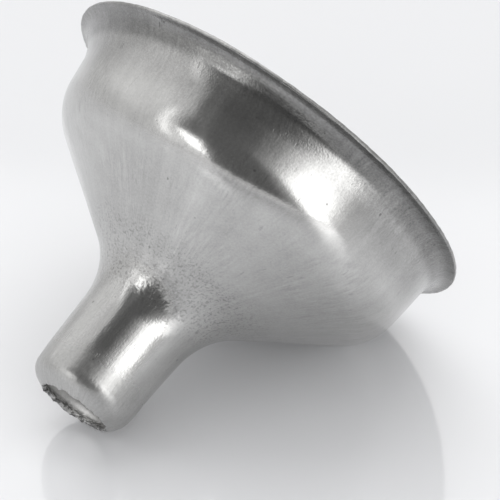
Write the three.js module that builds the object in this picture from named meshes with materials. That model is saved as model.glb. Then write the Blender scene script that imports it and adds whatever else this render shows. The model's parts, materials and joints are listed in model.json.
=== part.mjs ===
// A small funnel for filling flasks and bottles that have a narrow neck. It is one piece of thin stainless
// steel sheet: a flat brim, a shallow bowl that flares into it, a cone and a short spout, whose end is turned
// in round a hole. Sizes are in millimetres. The wall is a closed section, revolved about the funnel's axis,
// and the funnel lies on its side on a flat surface, with its spout towards -X and its mouth facing up and
// towards +X.
import * as THREE from "three";

// Driving dimensions. Radii are of the outer surface, and depths run from the mouth's plane to the spout's end.
const SHEET = 0.3;
const BRIM_RADIUS = 18.0;
const BRIM_BASE_RADIUS = 16.72;
// The flare between the brim and the bowl's wall, measured from the mouth's plane.
const FLARE_SLOPE = THREE.MathUtils.degToRad(62);
const BOWL_TOP_RADIUS = 16.2;
const BOWL_TOP_DEPTH = SHEET + (BRIM_BASE_RADIUS - BOWL_TOP_RADIUS) * Math.tan(FLARE_SLOPE);
const BOWL_BASE_RADIUS = 15.56;
const BOWL_DEPTH = 7.3;
const NECK_RADIUS = 4.63;
const NECK_DEPTH = 15.15;
const SPOUT_END_RADIUS = 4.27;
const FUNNEL_DEPTH = 25.35;
const HOLE_RADIUS = 3.3;

// Outer radii of the bends between the straight stretches of the section.
const BRIM_BEND = 0.8;
const FLARE_BEND = 2.6;
const BOWL_BEND = 4.5;
const NECK_BEND = 6.1;
const SPOUT_WALL_ANGLE = Math.atan2(NECK_RADIUS - SPOUT_END_RADIUS, FUNNEL_DEPTH - NECK_DEPTH);
// The end's bend begins on the spout's wall and reaches the edge of the hole.
const END_BEND = (SPOUT_END_RADIUS - HOLE_RADIUS) / Math.tan((Math.PI / 2 - SPOUT_WALL_ANGLE) / 2);

// Facets: in one round of the funnel, and the most degrees that one facet of a bend may turn.
const ROUND_FACETS = 48;
const DEGREES_PER_FACET = 12;

const STEEL = { color: 0x9c9c9b, roughness: 0.28, metalness: 1.0 };

// A corner of the section: a point, as (radius, depth), and the radius of the bend that rounds it.
const corner = (radius, depth, bend = 0) => ({ at: new THREE.Vector2(radius, depth), bend });

// The direction from one corner to the next, and the same turned a quarter towards the inner surface.
const along = (from, to) => to.at.clone().sub(from.at).normalize();
const inwards = (way) => new THREE.Vector2(-way.y, way.x);

const outerCorners = [
  corner(BRIM_RADIUS, SHEET),
  corner(BRIM_BASE_RADIUS, SHEET, BRIM_BEND),
  corner(BOWL_TOP_RADIUS, BOWL_TOP_DEPTH, FLARE_BEND),
  corner(BOWL_BASE_RADIUS, BOWL_DEPTH, BOWL_BEND),
  corner(NECK_RADIUS, NECK_DEPTH, NECK_BEND),
  corner(SPOUT_END_RADIUS, FUNNEL_DEPTH, END_BEND),
  corner(HOLE_RADIUS, FUNNEL_DEPTH),
];

// The corners on the other face of the sheet: each moves by the sheet's thickness from both of the straight
// stretches that meet there, and each bend keeps its centre, so it grows or shrinks by the thickness.
function otherFace(corners) {
  return corners.map((here, i) => {
    const into = along(corners[Math.max(i - 1, 0)], corners[Math.max(i, 1)]);
    const out = i < corners.length - 1 ? along(here, corners[i + 1]) : into;
    const shift = inwards(into).add(inwards(out)).normalize();
    shift.multiplyScalar(SHEET / shift.dot(inwards(into)));
    const grows = -Math.sign(into.cross(out)) * SHEET;
    return { at: here.at.clone().add(shift), bend: here.bend && here.bend + grows };
  });
}

// The points of one bend: an arc that touches the stretches into and out of its corner, in short facets.
function bendPoints(before, here, after) {
  const into = along(before, here);
  const out = along(here, after);
  const turn = Math.atan2(into.cross(out), into.dot(out));
  const start = here.at.clone().addScaledVector(into, -here.bend * Math.tan(Math.abs(turn) / 2));
  const centre = start.clone().addScaledVector(inwards(into), Math.sign(turn) * here.bend);
  const facets = Math.ceil(Math.abs(THREE.MathUtils.radToDeg(turn)) / DEGREES_PER_FACET);
  return Array.from({ length: facets + 1 }, (_, k) => start.clone().rotateAround(centre, (turn * k) / facets));
}

function bentPath(corners) {
  const points = corners.flatMap((here, i) =>
    here.bend ? bendPoints(corners[i - 1], here, corners[i + 1]) : [here.at],
  );
  return points.filter((point, i) => i === 0 || point.distanceTo(points[i - 1]) > SHEET / 10);
}

const outerPath = bentPath(outerCorners);
const innerPath = bentPath(otherFace(outerCorners));

// The funnel lies on the corner of its bowl and the end of its spout. The line that touches both makes this
// angle with the axis.
function restingTilt() {
  const bowl = outerPath.filter((p) => p.y > BOWL_TOP_DEPTH && p.y < NECK_DEPTH);
  const spout = outerPath.filter((p) => p.y > NECK_DEPTH);
  const slope = (a, b) => Math.atan2(a.x - b.x, b.y - a.y);
  return Math.max(...bowl.map((a) => Math.min(...spout.map((b) => slope(a, b)))));
}

// The wall, revolved about Y and then laid down, with one of its facets flat on the surface it lies on.
function layFunnel() {
  const section = [...outerPath, ...innerPath.toReversed(), outerPath[0]];
  const wall = new THREE.LatheGeometry(section, ROUND_FACETS, Math.PI / ROUND_FACETS);
  wall.rotateZ(Math.PI / 2);
  wall.rotateY(-restingTilt());
  wall.computeBoundingBox();
  const { min, max } = wall.boundingBox;
  const mesh = new THREE.Mesh(wall, new THREE.MeshStandardMaterial(STEEL));
  mesh.name = "funnel";
  mesh.position.set(-(min.x + max.x) / 2, -(min.y + max.y) / 2, -min.z);
  return mesh;
}

const funnel = new THREE.Group();
funnel.add(layFunnel());

export default funnel;
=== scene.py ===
"""The looks of a small stainless steel funnel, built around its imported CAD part.

The funnel is one piece of thin sheet: a brim, a shallow bowl, a cone and a short spout, whose end is turned in
round a pierced hole. This script replaces the faceted CAD solid with a smooth wall of the same main dimensions,
whose brim slopes back a little and whose spout has a rounder end. The wall also has what pressing and handling
leave: a sheared edge, a slightly leaning brim and spout, a mottled neck, fine drawing lines, and a torn edge
round the hole.

Lengths of the funnel are in millimetres, in its own frame: X and Y across, and depth from the mouth's plane
towards the spout's end. MM turns them into metres.
"""

import json
import math

import bpy
import numpy as np
from mathutils import Matrix, Vector, noise


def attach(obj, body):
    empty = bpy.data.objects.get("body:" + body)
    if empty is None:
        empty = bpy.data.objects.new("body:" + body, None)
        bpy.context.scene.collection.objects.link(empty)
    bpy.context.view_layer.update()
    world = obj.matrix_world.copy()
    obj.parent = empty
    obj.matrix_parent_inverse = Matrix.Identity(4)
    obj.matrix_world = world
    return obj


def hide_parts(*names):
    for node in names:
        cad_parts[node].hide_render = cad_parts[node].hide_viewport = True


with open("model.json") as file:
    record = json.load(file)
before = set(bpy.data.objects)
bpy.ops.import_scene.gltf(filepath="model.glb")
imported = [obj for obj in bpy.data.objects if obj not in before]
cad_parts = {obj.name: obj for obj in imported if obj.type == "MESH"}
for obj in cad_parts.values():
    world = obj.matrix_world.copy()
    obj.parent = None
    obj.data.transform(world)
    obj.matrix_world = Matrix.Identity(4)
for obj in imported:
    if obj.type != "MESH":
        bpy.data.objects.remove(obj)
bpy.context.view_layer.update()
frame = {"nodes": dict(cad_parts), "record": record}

MM = 0.001

# The funnel's driving dimensions, the same as the CAD part's.
SHEET = 0.3
BRIM_RADIUS = 18.0
BOWL_BASE_RADIUS = 15.56
BOWL_DEPTH = 7.3
NECK_RADIUS = 4.63
NECK_DEPTH = 15.15
SPOUT_END_RADIUS = 4.27
FUNNEL_DEPTH = 25.35
BOWL_BEND = 4.5
NECK_BEND = 6.1

# The CAD part's brim is flat, and this one is not quite. From the cut edge inwards the sheet slopes back
# towards the spout ever more, and these are the radii, depths and bends of the corners it turns at.
BRIM_SLOPE = math.radians(12)
RIM_DEPTH = SHEET * math.cos(BRIM_SLOPE)
BRIM_BASE_RADIUS = 17.12
BRIM_BASE_DEPTH = RIM_DEPTH + (BRIM_RADIUS - BRIM_BASE_RADIUS) * math.tan(BRIM_SLOPE)
BRIM_BEND = 1.3
FLARE_RADIUS = 16.45
FLARE_DEPTH = 1.55
FLARE_BEND = 1.8
BOWL_TOP_RADIUS = 16.12
BOWL_TOP_DEPTH = 2.77
BOWL_TOP_BEND = 8.0

# The spout's end is turned in over a wide bend, but not all the way, and its torn edge stands round the hole.
HOLE_RADIUS = 3.02
END_BEND = 1.75
END_TURN = math.radians(60)
END_DEPTH = FUNNEL_DEPTH - (SPOUT_END_RADIUS - HOLE_RADIUS) / math.tan(END_TURN)

# The mesh: columns round the funnel, the most that two rows may be apart on each face of the sheet, and the
# fewest facets in a bend. The sheared edges have their own small rounding.
COLUMNS = 288
OUTER_STEP = 0.17
INNER_STEP = 0.34
FEWEST_BEND_FACETS = 6
EDGE_ROUNDING = 0.07
EDGE_FACETS = 3

# Which face of the sheet a point is on, as the material reads it.
OUTER_FACE = 0.0
SHEARED_FACE = 0.5
INNER_FACE = 1.0


def clamped_ease(value, start, end):
    """0 before start, 1 after end, and a smooth step between them."""
    t = np.clip((value - start) / (end - start), 0.0, 1.0)
    return t * t * (3.0 - 2.0 * t)


def stretch(start, end, step):
    """Points along a straight stretch of the section, with the first one and without the last."""
    count = max(1, math.ceil((end - start).length / step))
    return [start.lerp(end, k / count) for k in range(count)]


def bent_path(corners, step):
    """The outer face's section as (point, outward normal) pairs. A corner is ((radius, depth), bend radius)."""
    places = [Vector(place) for place, _ in corners]
    path = []
    cursor = places[0]
    for i in range(1, len(places) - 1):
        into = (places[i] - places[i - 1]).normalized()
        out = (places[i + 1] - places[i]).normalized()
        turn = math.atan2(into.x * out.y - into.y * out.x, into.dot(out))
        bend = corners[i][1]
        arc_start = places[i] - into * bend * math.tan(abs(turn) / 2)
        outward = Vector((into.y, -into.x))
        path += [(point, outward) for point in stretch(cursor, arc_start, step)]
        centre = arc_start - outward * bend * math.copysign(1, turn)
        facets = max(FEWEST_BEND_FACETS, math.ceil(abs(turn) * bend / step))
        for k in range(facets):
            spin = Matrix.Rotation(turn * k / facets, 2)
            path.append((centre + spin @ (arc_start - centre), spin @ outward))
        spin = Matrix.Rotation(turn, 2)
        cursor = centre + spin @ (arc_start - centre)
    outward = Vector((out.y, -out.x))
    path += [(point, outward) for point in stretch(cursor, places[-1], step)]
    path.append((places[-1], outward))
    return path


def rounded_edge(outer_end, inner_end, outward):
    """The sheared edge of the sheet, from its outer face to its inner face, with both corners rounded."""
    across = (inner_end - outer_end).normalized()
    edge = []
    for corner, first, second in (
        (outer_end + across * EDGE_ROUNDING, -across, outward),
        (inner_end - across * EDGE_ROUNDING, outward, across),
    ):
        for k in range(EDGE_FACETS + 1):
            angle = math.pi / 2 * k / EDGE_FACETS
            way = first * math.cos(angle) + second * math.sin(angle)
            edge.append(corner + way * EDGE_ROUNDING)
    return edge


def funnel_section():
    """The closed section as radii, depths, and for each row which face of the sheet it is on."""
    corners = [
        ((BRIM_RADIUS - EDGE_ROUNDING, RIM_DEPTH), 0),
        ((BRIM_BASE_RADIUS, BRIM_BASE_DEPTH), BRIM_BEND),
        ((FLARE_RADIUS, FLARE_DEPTH), FLARE_BEND),
        ((BOWL_TOP_RADIUS, BOWL_TOP_DEPTH), BOWL_TOP_BEND),
        ((BOWL_BASE_RADIUS, BOWL_DEPTH), BOWL_BEND),
        ((NECK_RADIUS, NECK_DEPTH), NECK_BEND),
        ((SPOUT_END_RADIUS, END_DEPTH), END_BEND),
        ((HOLE_RADIUS, FUNNEL_DEPTH), 0),
    ]
    outer = [point for point, _ in bent_path(corners, OUTER_STEP)]
    inner = [point - outward * SHEET for point, outward in bent_path(corners, INNER_STEP)]
    hole_edge = rounded_edge(outer[-1], inner[-1], (outer[-1] - outer[-2]).normalized())
    brim_edge = rounded_edge(inner[0], outer[0], (outer[0] - outer[1]).normalized())
    rows = [(point, OUTER_FACE) for point in outer]
    rows += [(point, SHEARED_FACE) for point in hole_edge[1:-1]]
    rows += [(point, INNER_FACE) for point in reversed(inner)]
    rows += [(point, SHEARED_FACE) for point in brim_edge[1:-1]]
    radii = np.array([point.x for point, _ in rows])
    depths = np.array([point.y for point, _ in rows])
    faces = np.array([face for _, face in rows])
    return radii, depths, faces


# A point of the CAD part counts as in the mouth's plane when it is nearer to it than this.
MOUTH_MARGIN = SHEET / 3


def mouth_frame():
    """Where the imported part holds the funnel: X across it, Y along the mouth's slope, and Z into the spout."""
    mount = next(m for m in frame["record"]["mounts"] if m["name"] == "brim")
    outward = Vector(mount["axis"]).normalized()
    corners = [vertex.co for vertex in frame["nodes"]["funnel"].data.vertices]
    reach = max(outward.dot(corner) for corner in corners)
    ring = [corner for corner in corners if outward.dot(corner) > reach - MOUTH_MARGIN * MM]
    centre = sum(ring, Vector()) / len(ring)
    into = -outward
    across = Vector((0, 1, 0))
    slope = into.cross(across)
    place = Matrix((across, slope, into)).transposed().to_4x4()
    place.translation = centre + outward * (reach - outward.dot(centre))
    return place


# How far the press left the funnel out of true. A lean moves a point in depth by this much of its distance
# across the funnel, and a shift moves it across, in millimetres. Both go along one way across the funnel, and
# the spout also leans along the way square to that one. The brim's fade out by the bowl's wall, and the spout's
# start by its neck. The spout also reaches a little deeper, and its hole is not quite in the middle of its end.
LEAN_WAY = Vector((-0.798, 0.603))
BRIM_LEAN = -0.015
BRIM_SHIFT = -0.29
BRIM_FADES = (0.5, 3.4)
SPOUT_LEAN = -0.035
SPOUT_SIDE_LEAN = -0.050
SPOUT_SHIFT = -0.24
SPOUT_REACH = 0.24
SPOUT_STARTS = (15.3, 22.5)
HOLE_SHIFT = 0.26


def out_of_true(x, y, depth, radius):
    """The place of each point after the brim and the spout have leant and shifted."""
    aside = x * LEAN_WAY.x + y * LEAN_WAY.y
    beside = -x * LEAN_WAY.y + y * LEAN_WAY.x
    brim = 1.0 - clamped_ease(depth, *BRIM_FADES)
    spout = clamped_ease(depth, *SPOUT_STARTS)
    lip = spout * clamped_ease(SPOUT_END_RADIUS - radius, 0.0, SPOUT_END_RADIUS - HOLE_RADIUS)
    shift = BRIM_SHIFT * brim + SPOUT_SHIFT * spout + HOLE_SHIFT * lip
    lean = (BRIM_LEAN * brim + SPOUT_LEAN * spout) * aside
    lean += SPOUT_SIDE_LEAN * spout * beside
    lean += SPOUT_REACH * spout
    return x + shift * LEAN_WAY.x, y + shift * LEAN_WAY.y, depth + lean


# Dents and ripples in millimetres: broad ones all over the sheet, and ragged ones at its cut edges. The hole's
# torn edge has finer tears on its coarse ones, and the brim's edge is only a little rough.
DENT_SIZE = 5.5
DENT_DEPTH = 0.035
RIPPLE_SIZE = 1.7
RIPPLE_DEPTH = 0.006
TEAR_SIZE = 0.5
TEAR_DEPTH = 0.10
TEAR_REACH = 0.22
FINE_TEAR_SIZE = TEAR_SIZE / 2.3
FINE_TEAR_SHARE = 0.6
RIM_TEAR_DEPTH = 0.035

# Each layer of noise is read this far from the one before it, so that no two are alike.
DENTS, RIPPLES, TEARS, FINE_TEARS, RIM_TEARS = range(1, 6)
LAYER_OFFSET = (17.3, -5.1, 9.7)

# Blender's vector noise starts from the time of day unless it is given a seed.
NOISE_SEED = 4
noise.seed_set(NOISE_SEED)


def wobble(points, size, layer):
    """Smooth noise at each of the points, a vector of about -1 to 1 whose bumps are as wide as size."""
    offset = Vector([part * layer for part in LAYER_OFFSET])
    return np.array([noise.noise_vector(Vector(point) / size + offset) for point in points])


def handled(points, radii):
    """The points after the sheet's dents, its ripples and its ragged edges."""
    points = points + wobble(points, DENT_SIZE, DENTS) * DENT_DEPTH
    points += wobble(points, RIPPLE_SIZE, RIPPLES) * RIPPLE_DEPTH
    torn = 1.0 - clamped_ease(radii, HOLE_RADIUS, HOLE_RADIUS + TEAR_REACH)
    at_hole = np.nonzero(torn > 0)[0]
    tears = wobble(points[at_hole], TEAR_SIZE, TEARS)
    tears += FINE_TEAR_SHARE * wobble(points[at_hole], FINE_TEAR_SIZE, FINE_TEARS)
    points[at_hole] += tears * TEAR_DEPTH * torn[at_hole, None]
    at_rim = np.nonzero(radii > BRIM_RADIUS - TEAR_REACH)[0]
    points[at_rim] += wobble(points[at_rim], TEAR_SIZE, RIM_TEARS) * RIM_TEAR_DEPTH
    return points


def grid_quads(rows, columns, closed):
    """The squares between a grid's points. A closed one also joins its last row and column to the first."""
    left_out = 0 if closed else 1
    quads = []
    for row in range(rows - left_out):
        below = (row + 1) % rows
        for column in range(columns - left_out):
            beside = (column + 1) % columns
            quads.append(
                (
                    row * columns + column,
                    row * columns + beside,
                    below * columns + beside,
                    below * columns + column,
                )
            )
    return quads


def into_scene(name, data):
    """A new object that holds this mesh, light or camera."""
    new_object = bpy.data.objects.new(name, data)
    bpy.context.scene.collection.objects.link(new_object)
    return new_object


def build_funnel():
    radii, depths, faces = funnel_section()
    angles = np.linspace(0.0, 2.0 * math.pi, COLUMNS, endpoint=False)
    ideal_x = np.outer(radii, np.cos(angles))
    ideal_y = np.outer(radii, np.sin(angles))
    ideal_depth = np.repeat(depths[:, None], COLUMNS, axis=1)
    x, y, depth = out_of_true(ideal_x, ideal_y, ideal_depth, radii[:, None])

    points = np.stack([x, y, depth], axis=-1).reshape(-1, 3)
    points = handled(points, np.repeat(radii, COLUMNS)) * MM
    mesh = bpy.data.meshes.new("steel_funnel")
    mesh.from_pydata(points.tolist(), [], grid_quads(len(radii), COLUMNS, closed=True))
    mesh.transform(mouth_frame())
    lowest = min(vertex.co.z for vertex in mesh.vertices)
    mesh.transform(Matrix.Translation((0, 0, -lowest)))
    mesh.shade_smooth()

    # The material reads where a point is on the true funnel, in millimetres, and on which face of the sheet.
    place = mesh.attributes.new("funnel_place", "FLOAT_VECTOR", "POINT")
    ideal = np.stack([ideal_x, ideal_y, ideal_depth], axis=-1).reshape(-1)
    place.data.foreach_set("vector", ideal.astype(np.float32))
    face = mesh.attributes.new("sheet_face", "FLOAT", "POINT")
    face.data.foreach_set("value", np.repeat(faces, COLUMNS).astype(np.float32))
    return into_scene("steel_funnel", mesh)


class Nodes:
    """A short way to write a node tree."""

    def __init__(self, tree):
        self.tree = tree
        tree.nodes.clear()

    def add(self, kind, settings=None, **inputs):
        node = self.tree.nodes.new(kind)
        for name, value in (settings or {}).items():
            setattr(node, name, value)
        for name, value in inputs.items():
            self.feed(node, name.replace("_", " "), value)
        return node

    def feed(self, node, socket, value):
        if isinstance(value, bpy.types.NodeSocket):
            self.tree.links.new(value, node.inputs[socket])
        else:
            node.inputs[socket].default_value = value

    def number(self, operation, first, second=0.0):
        """One sum on one or two numbers."""
        node = self.add("ShaderNodeMath", {"operation": operation})
        self.feed(node, 0, first)
        self.feed(node, 1, second)
        return node.outputs["Value"]

    def vectors(self, operation, first, second=(0.0, 0.0, 0.0)):
        """One sum on one or two vectors."""
        node = self.add("ShaderNodeVectorMath", {"operation": operation})
        self.feed(node, 0, first)
        self.feed(node, 1, second)
        return node.outputs["Vector"]

    def attribute(self, name, output):
        """One of the values that the mesh holds."""
        return self.add("ShaderNodeAttribute", {"attribute_name": name}).outputs[output]

    def ramp(self, value, start, end, low=0.0, high=1.0):
        """A smooth step from low to high as the value goes from start to end."""
        node = self.add(
            "ShaderNodeMapRange",
            {"interpolation_type": "SMOOTHSTEP"},
            Value=value,
            From_Min=start,
            From_Max=end,
            To_Min=low,
            To_Max=high,
        )
        return node.outputs["Result"]

    def grain(self, vector, scale, detail, roughness):
        """Smooth noise from 0 to 1, with this many bumps to a unit of the vector."""
        node = self.add(
            "ShaderNodeTexNoise",
            Vector=vector,
            Scale=scale,
            Detail=detail,
            Roughness=roughness,
        )
        return node.outputs["Fac"]

    def times(self, first, second):
        """Two numbers multiplied, such as a mask and how much it changes."""
        return self.number("MULTIPLY", first, second)

    def bumps(self, value, swing):
        """Noise from 0 to 1 as a change with its middle at 0, from minus to plus half of the swing."""
        return self.times(self.number("SUBTRACT", value, 0.5), swing)

    def total(self, values):
        """The sum of several numbers."""
        result = values[0]
        for value in values[1:]:
            result = self.number("ADD", result, value)
        return result

    def lines(self, ring, place, circle, along):
        """Where to read noise that makes lines: on a circle of this radius, plus this much of the place."""
        round_circle = self.vectors("MULTIPLY", ring, (circle, circle, 0.0))
        return self.vectors("ADD", round_circle, self.vectors("MULTIPLY", place, along))


def new_material(name):
    """A material, and its node tree with nothing in it."""
    material = bpy.data.materials.new(name)
    material.use_nodes = True
    return material, Nodes(material.node_tree)


# Depths between which each kind of skin or change of grey comes in or goes out. The flare, the upper wall and
# the spout's end also mark where the grey is darkened as painted shade.
BRIM_OUT = (1.7, 4.4)
FLARE_OUT = (1.3, 2.2)
WALL_OUT = (2.9, 5.8)
CONE_TOP_OUT = (7.5, 11.0)
NECK_IN = (11.6, 13.2)
NECK_OUT = (15.6, 17.4)
COARSE_IN = (13.0, 16.5)
END_IN = (20.5, 23.0)
TORN_IN = (24.4, 24.9)

# The same across the sheet's faces: away from a sheared edge, and from the outer face towards the inner one.
SHEARED_OUT = (0.0, 0.35)
TORN_FACE_IN = (0.1, 0.4)
INNER_FACE_IN = (0.6, 0.9)

# Patterns of noise: bumps to a millimetre, detail and roughness. Those in lines count their bumps on the lines'
# own circle. Pits only have their cells to a millimetre.
SMUDGES = (0.22, 3.0, 0.55)
MOTTLE = (0.9, 3.0, 0.6)
PEEL = (2.1, 1.5, 0.55)
FINE = (6.6, 1.5, 0.55)
BRIM_GRAIN = (6.5, 1.0, 0.5)
CURLS = (4.6, 2.5, 0.62)
TORN_SPOTS = (2.6, 2.0, 0.6)
DRAWN_LINES = (1.0, 2.0, 0.6)
SHEAR_LINES = (1.0, 2.0, 0.6)
HATCH_LINES = (1.0, 1.5, 0.55)
HATCH_PATCHES = (0.28, 2.0, 0.5)
SCRATCH_LINES = (1.7, 1.0, 0.5)
SCRATCH_PATCHES = (0.45, 2.0, 0.5)
PIT_CELLS = 0.75

# Lines run from the mouth to the spout. The larger the circle that their noise goes round, the finer they are,
# and the larger the share of the place that is added to it, the shorter. Scratches go round the circle of the
# drawn lines, and run a little askew. The lines across the sheared edges never end.
DRAWN_CIRCLE = 28.0
DRAWN_ALONG = (0.0, 0.0, 0.10)
SCRATCH_ALONG = (0.35, 0.35, 0.75)
HATCH_CIRCLE = 66.0
HATCH_ALONG = (0.0, 0.0, 1.3)
SHEAR_CIRCLE = 90.0
SHEAR_ALONG = (0.0, 0.0, 0.0)

# Values of a pattern between which its marks begin.
SMUDGE_MARKS = (0.30, 0.70)
CURL_MARKS = (0.53, 0.63)
TORN_MARKS = (0.40, 0.54)
SCRATCH_MARKS = (0.65, 0.73)
SCRATCHED_PARTS = (0.50, 0.62)
HATCHED_PARTS = (0.46, 0.60)
HATCH_ELSEWHERE = 0.15
PIT_DOTS = (0.05, 0.11)
PITTED_PARTS = (0.50, 0.60)

# Heights of the finish in millimetres, and the shares of them that some parts of the funnel have.
PEEL_HEIGHT = 0.034
PEEL_AT_END = 0.45
PEEL_ELSEWHERE = 0.10
DRAWN_HEIGHT = 0.0042
DRAWN_AT_BRIM = 0.3
FINE_HEIGHT = 0.0032
FINE_AT_SPOUT = 2.2
BRIM_GRAIN_HEIGHT = 0.0075
SHEAR_HEIGHT = 0.02
PIT_HEIGHT = -0.006
SCRATCH_HEIGHT = -0.003

# The steel's grey between its smudges, and what each pattern and skin adds to it. Its green and blue are this
# much of its red: a slight yellow that offsets the blue of the floor in its reflections.
GREYS = (0.480, 0.530)
# The bowl and the top of the cone are a little lighter grey.
CONE_TOP_SHADE = 0.03
MOTTLE_SHADE = 0.06
DRAWN_SHADE = 0.10
FINE_SHADE = 0.16
HATCH_SHADE = 0.20
BRIM_GRAIN_SHADE = 0.16
PIT_SHADE = -0.20
SCRATCH_SHADE = -0.09
CURL_SHADE = -0.14
SHEARED_SHADE = 0.06
TORN_SHADE = -0.36
# Painted shade: darker grey on the brim's flare, the upper bowl wall and the spout's end, standing in for the
# darker reflections there.
FLARE_PAINTED_SHADE = -0.145
WALL_PAINTED_SHADE = -0.14
END_PAINTED_SHADE = -0.03
GREEN = 0.996
BLUE = 0.980

# The same for its roughness.
SATIN = (0.175, 0.125)
MOTTLE_ROUGHNESS = 0.05
NECK_ROUGHNESS = 0.05
END_ROUGHNESS = 0.17
BRIM_ROUGHNESS = 0.05
FLARE_ROUGHNESS = 0.02
INNER_ROUGHNESS = 0.08
SHEARED_ROUGHNESS = 0.06
SCRATCH_ROUGHNESS = 0.10


def steel_material():
    """Satin stainless steel, pressed from sheet. Its detail is laid out on the true funnel, in millimetres."""
    material, nodes = new_material("stainless_steel")
    place = nodes.attribute("funnel_place", "Vector")
    face = nodes.attribute("sheet_face", "Fac")
    depth = nodes.add("ShaderNodeSeparateXYZ", Vector=place).outputs["Z"]
    ring = nodes.vectors("NORMALIZE", nodes.vectors("MULTIPLY", place, (1.0, 1.0, 0.0)))

    # Where each kind of skin shows, from 0 to 1. The flare and the wall also bound painted shade.
    brim = nodes.ramp(depth, *BRIM_OUT, 1.0, 0.0)
    flare = nodes.ramp(depth, *FLARE_OUT, 1.0, 0.0)
    wall = nodes.ramp(depth, *WALL_OUT, 1.0, 0.0)
    neck = nodes.times(nodes.ramp(depth, *NECK_IN), nodes.ramp(depth, *NECK_OUT, 1.0, 0.0))
    end = nodes.ramp(depth, *END_IN)
    from_edge = nodes.number("ABSOLUTE", nodes.number("SUBTRACT", face, SHEARED_FACE))
    sheared = nodes.number("SUBTRACT", 1.0, nodes.ramp(from_edge, *SHEARED_OUT))
    torn_end = nodes.times(nodes.ramp(depth, *TORN_IN), nodes.ramp(face, *TORN_FACE_IN))
    torn = nodes.times(torn_end, nodes.ramp(nodes.grain(place, *TORN_SPOTS), *TORN_MARKS))

    # The patterns.
    smudges = nodes.grain(place, *SMUDGES)
    mottle = nodes.grain(place, *MOTTLE)
    peel = nodes.grain(place, *PEEL)
    fine = nodes.grain(place, *FINE)
    brim_grain = nodes.grain(place, *BRIM_GRAIN)
    drawn = nodes.grain(nodes.lines(ring, place, DRAWN_CIRCLE, DRAWN_ALONG), *DRAWN_LINES)
    shear_lines = nodes.grain(nodes.lines(ring, place, SHEAR_CIRCLE, SHEAR_ALONG), *SHEAR_LINES)

    # Short fine marks along the cone, mostly in patches.
    hatch = nodes.grain(nodes.lines(ring, place, HATCH_CIRCLE, HATCH_ALONG), *HATCH_LINES)
    hatch_patches = nodes.ramp(nodes.grain(place, *HATCH_PATCHES), *HATCHED_PARTS, HATCH_ELSEWHERE, 1.0)

    # Sparse pits, fine scratches, and curled marks on the neck.
    cells = nodes.add("ShaderNodeTexVoronoi", {"feature": "F1"}, Vector=place, Scale=PIT_CELLS)
    pit_dots = nodes.ramp(cells.outputs["Distance"], *PIT_DOTS, 1.0, 0.0)
    pits = nodes.times(pit_dots, nodes.ramp(mottle, *PITTED_PARTS))
    scratch_place = nodes.lines(ring, place, DRAWN_CIRCLE, SCRATCH_ALONG)
    scratch_lines = nodes.ramp(nodes.grain(scratch_place, *SCRATCH_LINES), *SCRATCH_MARKS)
    scratched_parts = nodes.ramp(nodes.grain(place, *SCRATCH_PATCHES), *SCRATCHED_PARTS)
    scratches = nodes.times(scratch_lines, scratched_parts)
    neck_curls = nodes.times(nodes.ramp(nodes.grain(place, *CURLS), *CURL_MARKS), neck)

    # Height, in millimetres.
    peel_share = nodes.number("MAXIMUM", neck, nodes.times(end, PEEL_AT_END))
    peel_share = nodes.number("MAXIMUM", peel_share, PEEL_ELSEWHERE)
    drawn_share = nodes.ramp(brim, 0.0, 1.0, 1.0, DRAWN_AT_BRIM)
    fine_share = nodes.ramp(depth, *COARSE_IN, 1.0, FINE_AT_SPOUT)
    height = nodes.total(
        [
            nodes.times(nodes.bumps(peel, PEEL_HEIGHT), peel_share),
            nodes.times(nodes.bumps(drawn, DRAWN_HEIGHT), drawn_share),
            nodes.times(nodes.bumps(fine, FINE_HEIGHT), fine_share),
            nodes.times(nodes.bumps(brim_grain, BRIM_GRAIN_HEIGHT), brim),
            nodes.times(nodes.bumps(shear_lines, SHEAR_HEIGHT), sheared),
            nodes.times(pits, PIT_HEIGHT),
            nodes.times(scratches, SCRATCH_HEIGHT),
        ]
    )
    bump = nodes.add("ShaderNodeBump", Strength=1.0, Distance=MM, Height=height)

    # Colour: one grey, a little uneven, darker in the marks and brighter where the sheet was cut. The flare, the
    # upper wall and the spout's end are darker as painted shade.
    shade = nodes.total(
        [
            nodes.ramp(smudges, *SMUDGE_MARKS, *GREYS),
            # A little lighter grey on the bowl and the top of the cone.
            nodes.ramp(depth, *CONE_TOP_OUT, CONE_TOP_SHADE, 0.0),
            nodes.bumps(mottle, MOTTLE_SHADE),
            nodes.bumps(drawn, DRAWN_SHADE),
            nodes.bumps(fine, FINE_SHADE),
            nodes.times(nodes.bumps(hatch, HATCH_SHADE), hatch_patches),
            nodes.times(nodes.bumps(brim_grain, BRIM_GRAIN_SHADE), brim),
            nodes.times(pits, PIT_SHADE),
            nodes.times(scratches, SCRATCH_SHADE),
            nodes.times(neck_curls, CURL_SHADE),
            nodes.times(sheared, SHEARED_SHADE),
            nodes.times(torn, TORN_SHADE),
            # Painted shade on the flare, the upper wall and the spout's end.
            nodes.times(flare, FLARE_PAINTED_SHADE),
            nodes.times(wall, WALL_PAINTED_SHADE),
            nodes.times(end, END_PAINTED_SHADE),
        ]
    )
    colour = nodes.add(
        "ShaderNodeCombineColor",
        Red=shade,
        Green=nodes.times(shade, GREEN),
        Blue=nodes.times(shade, BLUE),
    )

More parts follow.
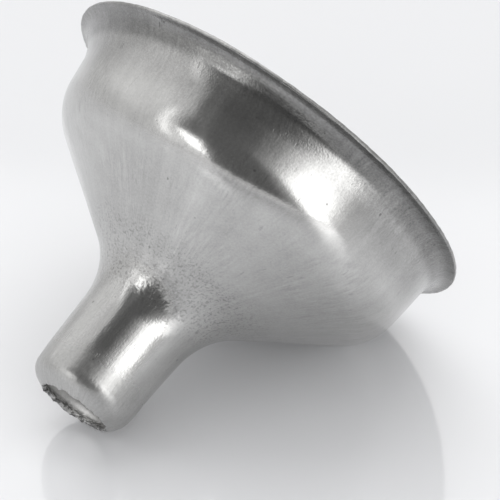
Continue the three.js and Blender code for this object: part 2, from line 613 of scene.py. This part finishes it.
    # Roughness: satin, more so where the sheet was stretched, on its inner face and on its cut edges.
    roughness = nodes.total(
        [
            nodes.ramp(smudges, *SMUDGE_MARKS, *SATIN),
            nodes.bumps(mottle, MOTTLE_ROUGHNESS),
            nodes.times(neck, NECK_ROUGHNESS),
            nodes.times(end, END_ROUGHNESS),
            nodes.times(brim, BRIM_ROUGHNESS),
            nodes.times(flare, FLARE_ROUGHNESS),
            nodes.ramp(face, *INNER_FACE_IN, 0.0, INNER_ROUGHNESS),
            nodes.times(sheared, SHEARED_ROUGHNESS),
            nodes.times(scratches, SCRATCH_ROUGHNESS),
        ]
    )
    shader = nodes.add(
        "ShaderNodeBsdfPrincipled",
        Base_Color=colour.outputs["Color"],
        Metallic=1.0,
        Roughness=roughness,
        Normal=bump.outputs["Normal"],
    )
    nodes.add("ShaderNodeOutputMaterial", Surface=shader.outputs["BSDF"])
    return material


# The floor, in metres: far wider than the camera sees.
FLOOR_HALF = 3.0
FLOOR_COLOUR = (0.735, 0.739, 0.754, 1.0)
FLOOR_ROUGHNESS = 0.09


def build_floor():
    corners = [
        (-FLOOR_HALF, -FLOOR_HALF, 0),
        (FLOOR_HALF, -FLOOR_HALF, 0),
        (FLOOR_HALF, FLOOR_HALF, 0),
        (-FLOOR_HALF, FLOOR_HALF, 0),
    ]
    mesh = bpy.data.meshes.new("studio_floor")
    mesh.from_pydata(corners, [], [(0, 1, 2, 3)])
    material, nodes = new_material("white_acrylic")
    shader = nodes.add("ShaderNodeBsdfPrincipled", Base_Color=FLOOR_COLOUR, Roughness=FLOOR_ROUGHNESS)
    nodes.add("ShaderNodeOutputMaterial", Surface=shader.outputs["BSDF"])
    mesh.materials.append(material)
    floor = into_scene("studio_floor", mesh)


# Everything in the studio faces this point, which is in the middle of the funnel.
STUDIO_CENTRE = Vector((0, 0, 15)) * MM


def towards(azimuth, elevation):
    """The direction with this azimuth and elevation, in degrees."""
    a = math.radians(azimuth)
    e = math.radians(elevation)
    return Vector((math.cos(e) * math.cos(a), math.cos(e) * math.sin(a), math.sin(e)))


def face_target(thing, position, target):
    """Put a light or a camera here, with its own -Z at the target and its Y upwards."""
    thing.location = position
    thing.rotation_mode = "QUATERNION"
    thing.rotation_quaternion = (target - position).to_track_quat("-Z", "Y")


def softbox(name, azimuth, elevation, distance, width, height, radiance):
    """An area light that faces the funnel. Its power comes from how bright its face looks."""
    data = bpy.data.lights.new(name, "AREA")
    data.shape = "RECTANGLE"
    data.size = width
    data.size_y = height
    data.energy = radiance * width * height * math.pi
    light = into_scene(name, data)
    face_target(light, STUDIO_CENTRE + towards(azimuth, elevation) * distance, STUDIO_CENTRE)
    light.visible_camera = False
    return light


# Squares along each side of a panel, and where its fades start, as a part of its width or height. That is just
# outside the panel, so that no fade has a width of 0.
PANEL_STEPS = 24
FADE_START = -0.001


def panel(name, corners, distance, radiance, fades, lights):
    """A patch of the studio's wall, seen from the funnel between four directions, each an azimuth and an
    elevation: bottom left, bottom right, top right and top left. It fades out over these parts of its width at
    its left and right, and of its height at its bottom and top. One that lights nothing is only reflected."""
    steps = np.linspace(0.0, 1.0, PANEL_STEPS + 1)
    u, v = [grid.ravel()[:, None] for grid in np.meshgrid(steps, steps)]
    low_left, low_right, high_right, high_left = [np.array(corner) for corner in corners]
    ways = (1 - v) * ((1 - u) * low_left + u * low_right) + v * ((1 - u) * high_left + u * high_right)
    points = [STUDIO_CENTRE + towards(azimuth, elevation) * distance for azimuth, elevation in ways]
    mesh = bpy.data.meshes.new(name)
    mesh.from_pydata(points, [], grid_quads(PANEL_STEPS + 1, PANEL_STEPS + 1, closed=False))

    cover = np.ones(len(points))
    for part, fade in zip((u, 1 - u, v, 1 - v), fades):
        cover *= clamped_ease(part.ravel(), FADE_START, fade)
    mesh.attributes.new("cover", "FLOAT", "POINT").data.foreach_set("value", cover.astype(np.float32))

    material, nodes = new_material(name)
    blend = nodes.add("ShaderNodeMixShader")
    nodes.feed(blend, 0, nodes.attribute("cover", "Fac"))
    nodes.feed(blend, 1, nodes.add("ShaderNodeBsdfTransparent").outputs["BSDF"])
    nodes.feed(blend, 2, nodes.add("ShaderNodeEmission", Strength=radiance).outputs["Emission"])
    nodes.add("ShaderNodeOutputMaterial", Surface=blend.outputs["Shader"])
    mesh.materials.append(material)

    screen = into_scene(name, mesh)
    screen.visible_camera = False
    screen.visible_shadow = False
    screen.visible_diffuse = lights


# The studio's walls, and its softboxes: azimuth, elevation, distance, width, height and radiance. The front
# fill doesn't show in the steel.
WALL_RADIANCE = 0.78
OVERHEAD_SOFTBOX = (40, 58, 1.1, 1.2, 1.2, 1.25)
FRONT_FILL = (-140, 24, 0.8, 0.8, 0.4, 1.3)

# The panels: name, corners, distance, radiance, fades, and whether it lights things. The key panel makes the
# broad highlight on the bowl and the spout, with a dark side next to it. Beyond that is a lamp with a halo and
# a tall strip above it, and a dark corner over them. The back glow evens out the far side.
PANELS = (
    ("back_glow", ((150, 8), (66, 8), (66, 62), (150, 62)), 1.05, 1.00, (0.20, 0.25, 0.35, 0.25), True),
    ("key_panel", ((-118, -1), (-86, -1), (-87, 54), (-121, 54)), 0.60, 3.1, (0.50, 0.27, 0.03, 0.80), True),
    ("lamp_halo", ((187, -3), (144, -3), (146, 24), (184, 24)), 0.66, 1.02, (0.15, 0.45, 0.25, 0.40), True),
    ("side_lamp", ((183, 9), (172, 11), (162, 29), (181, 28)), 0.60, 2.6, (0.10, 0.10, 0.12, 0.12), True),
    ("side_strip", ((163, 5), (154, 5), (140, 66), (152, 66)), 0.62, 1.9, (0.42, 0.42, 0.12, 0.45), True),
    ("dark_side", ((182, 3), (256, -1), (256, 89), (181, 89)), 1.00, 0.15, (0.03, 0.42, 0.02, 0.10), False),
    ("dark_corner", ((160, 28), (185, 28), (185, 86), (158, 86)), 0.98, 0.19, (0.30, 0.2, 0.08, 0.15), False),
)


def build_studio():
    world = bpy.data.worlds.new("studio_walls")
    world.use_nodes = True
    nodes = Nodes(world.node_tree)
    background = nodes.add("ShaderNodeBackground", Color=(1.0, 1.0, 1.0, 1.0), Strength=WALL_RADIANCE)
    nodes.add("ShaderNodeOutputWorld", Surface=background.outputs["Background"])
    bpy.context.scene.world = world
    softbox("overhead_softbox", *OVERHEAD_SOFTBOX)
    fill = softbox("front_fill", *FRONT_FILL)
    fill.visible_glossy = False
    for panel_settings in PANELS:
        panel(*panel_settings)


# The camera: a long lens on a 36 mm sensor, and where it stands and aims, in millimetres and degrees.
LENS = 184.25
SENSOR_WIDTH = 36.0
CAMERA_CLIP = (0.01, 20.0)
CAMERA_AIM = (2.92, -1.70, 10.13)
CAMERA_AZIMUTH = -136.22
CAMERA_ELEVATION = 32.16
CAMERA_DISTANCE = 202.3


def build_camera():
    data = bpy.data.cameras.new("camera")
    data.lens = LENS
    data.sensor_width = SENSOR_WIDTH
    data.clip_start, data.clip_end = CAMERA_CLIP
    camera = into_scene("camera", data)
    aim = Vector(CAMERA_AIM) * MM
    face_target(camera, aim + towards(CAMERA_AZIMUTH, CAMERA_ELEVATION) * CAMERA_DISTANCE * MM, aim)
    bpy.context.scene.camera = camera


funnel = build_funnel()
funnel.data.materials.append(steel_material())
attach(funnel, "root")
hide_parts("funnel")
build_floor()
build_studio()
build_camera()
bpy.context.scene.view_settings.view_transform = "Standard"
